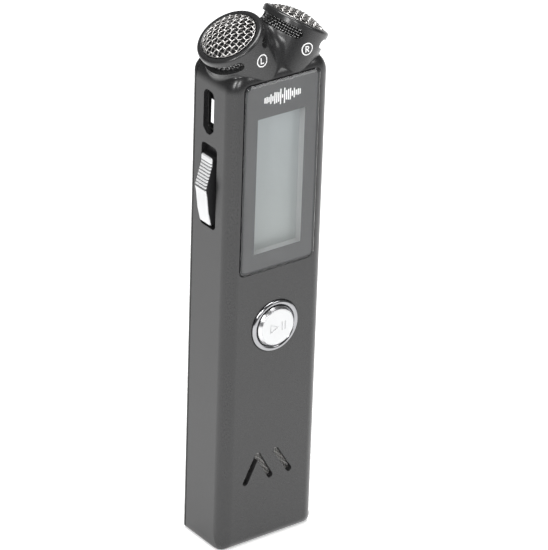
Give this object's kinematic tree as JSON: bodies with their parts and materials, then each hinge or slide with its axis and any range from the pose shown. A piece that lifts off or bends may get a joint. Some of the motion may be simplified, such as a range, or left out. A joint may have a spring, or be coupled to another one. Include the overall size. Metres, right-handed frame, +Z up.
{
  "type": "portable field recorder",
  "caption": "Slim pocket sound recorder with two angled stereo microphones, a raised display window, a play button, a side record slider, side keys and speaker slots.",
  "frame": {"origin": "middle of the flat bottom that the recorder stands on", "axes": "+Z up along the case towards the microphones, -Y out of the display, -X out of the record slider's side"},
  "size_m": [0.026, 0.014, 0.1083],
  "materials": {
    "case_plastic": "satin",
    "lens_plastic": "polished",
    "mask_print": "matte",
    "foam": "matte",
    "frame_plastic": "matte",
    "lcd_glass": "satin",
    "flex_film": "satin",
    "bright_chrome": "polished",
    "silver_plate": "satin",
    "black_plastic": "satin",
    "steel": "satin",
    "nylon": "satin",
    "board_laminate": "satin",
    "chip_epoxy": "matte",
    "part_ceramic": "satin",
    "cell_foil": "satin",
    "tape_film": "matte",
    "wire_jacket": "satin",
    "wire_mesh": "polished",
    "boot_rubber": "matte"
  },
  "bodies": {
    "case": {"front_shell": "case_plastic", "rear_cover": "case_plastic", "cover_screws": "steel", "display_lens": "lens_plastic", "lens_mask": "mask_print", "lens_tape": "foam", "display_frame": "frame_plastic", "lcd_panel": "lcd_glass", "display_flex": "flex_film", "play_ring": "bright_chrome", "play_switch": "black_plastic", "slide_switch": "steel", "key_switches": "black_plastic", "usb_socket": "bright_chrome", "usb_tongue": "black_plastic", "headphone_jack": "black_plastic", "main_board": "board_laminate", "processor": "chip_epoxy", "memory_chip": "chip_epoxy", "board_parts": "part_ceramic", "board_screws": "steel", "battery": "cell_foil", "battery_tape": "tape_film", "battery_pad": "foam", "battery_leads": "wire_jacket", "speaker": "black_plastic", "speaker_mesh": "wire_mesh", "speaker_leads": "wire_jacket", "mic_mesh_left": "wire_mesh", "mic_mesh_right": "wire_mesh", "slot_mesh_left": "wire_mesh", "slot_mesh_right": "wire_mesh", "mic_capsule_left": "steel", "mic_capsule_right": "steel", "mic_boot_left": "boot_rubber", "mic_boot_right": "boot_rubber", "mic_leads": "wire_jacket"},
    "play_button": {"play_button": "silver_plate"},
    "rec_slider": {"rec_slider": "silver_plate", "slider_carrier": "black_plastic", "switch_lever": "nylon"},
    "menu_key": {"menu_key": "case_plastic"},
    "previous_key": {"previous_key": "case_plastic"},
    "next_key": {"next_key": "case_plastic"},
    "volume_key": {"volume_key": "case_plastic"}
  },
  "joints": [
    {"name": "play_press", "type": "slide", "parent": "case", "child": "play_button", "axis": [0, 1, 0], "range_m": [0, 0.0003], "stiffness_N_per_m": 3000},
    {"name": "rec_slide", "type": "slide", "parent": "case", "child": "rec_slider", "axis": [0, 0, 1], "range_m": [0, 0.0018]},
    {"name": "menu_press", "type": "slide", "parent": "case", "child": "menu_key", "axis": [-1, 0, 0], "range_m": [0, 0.0003], "stiffness_N_per_m": 3000},
    {"name": "previous_press", "type": "slide", "parent": "case", "child": "previous_key", "axis": [-1, 0, 0], "range_m": [0, 0.0003], "stiffness_N_per_m": 3000},
    {"name": "next_press", "type": "slide", "parent": "case", "child": "next_key", "axis": [-1, 0, 0], "range_m": [0, 0.0003], "stiffness_N_per_m": 3000},
    {"name": "volume_press", "type": "slide", "parent": "case", "child": "volume_key", "axis": [-1, 0, 0], "range_m": [0, 0.0003], "stiffness_N_per_m": 3000}
  ]
}
